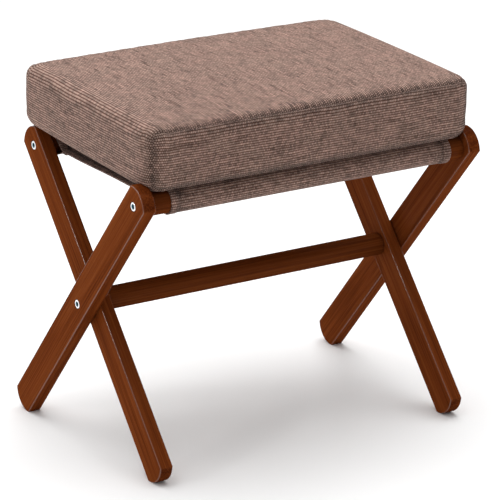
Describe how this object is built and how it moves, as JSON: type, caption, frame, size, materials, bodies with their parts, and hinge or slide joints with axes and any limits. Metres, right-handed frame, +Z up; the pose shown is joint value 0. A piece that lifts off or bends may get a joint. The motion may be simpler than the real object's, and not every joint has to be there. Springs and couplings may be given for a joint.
{
  "type": "folding vanity stool",
  "caption": "Folding stool: crossed wooden leg frames on a pivot, round rails, a cloth sling and a loose box cushion.",
  "frame": {"origin": "on the floor, under the middle of the stool", "axes": "+X along the seat to the sitter's right, -Y towards the front rail, +Z up"},
  "size_m": [0.5, 0.3484, 0.4726],
  "materials": {
    "lacquered_wood": "gloss lacquer over reddish-brown stain, fine straight grain",
    "bright_steel": "polished plating",
    "insert_brass": "turned",
    "bush_nylon": "moulded",
    "sling_cloth": "ribbed weave, taupe brown",
    "cushion_cloth": "ribbed slub weave, taupe brown",
    "foam": "open-cell foam"
  },
  "bodies": {
    "inner_frame": {"inner_leg_left": "lacquered_wood", "inner_leg_right": "lacquered_wood", "back_rail": "lacquered_wood", "stretcher": "lacquered_wood", "back_rail_bolt_left": "bright_steel", "pivot_bolt_left": "bright_steel", "back_rail_insert_left": "insert_brass", "stretcher_insert_left": "insert_brass", "pivot_washer_left": "bush_nylon", "back_rail_bolt_right": "bright_steel", "pivot_bolt_right": "bright_steel", "back_rail_insert_right": "insert_brass", "stretcher_insert_right": "insert_brass", "pivot_washer_right": "bush_nylon", "sling": "sling_cloth"},
    "outer_frame": {"outer_leg_left": "lacquered_wood", "outer_leg_right": "lacquered_wood", "front_rail": "lacquered_wood", "front_rail_bolt_left": "bright_steel", "front_rail_insert_left": "insert_brass", "pivot_bush_left": "bush_nylon", "front_rail_bolt_right": "bright_steel", "front_rail_insert_right": "insert_brass", "pivot_bush_right": "bush_nylon"},
    "cushion": {"cushion_cover": "cushion_cloth", "cushion_core": "foam"}
  },
  "joints": [
    {"name": "frame_fold", "type": "hinge", "parent": "inner_frame", "child": "outer_frame", "pos_m": [0, 0, 0.19554], "axis": [-1, 0, 0], "range_deg": [0, 72], "deforming": ["sling"]},
    {"name": "cushion_lift", "type": "slide", "parent": "inner_frame", "child": "cushion", "axis": [0, 0, 1], "range_m": [0, 0.2]}
  ],
  "couplings": [
    {"joint": "cushion_lift", "follows": "frame_fold", "m_per_rad": 0.155}
  ]
}
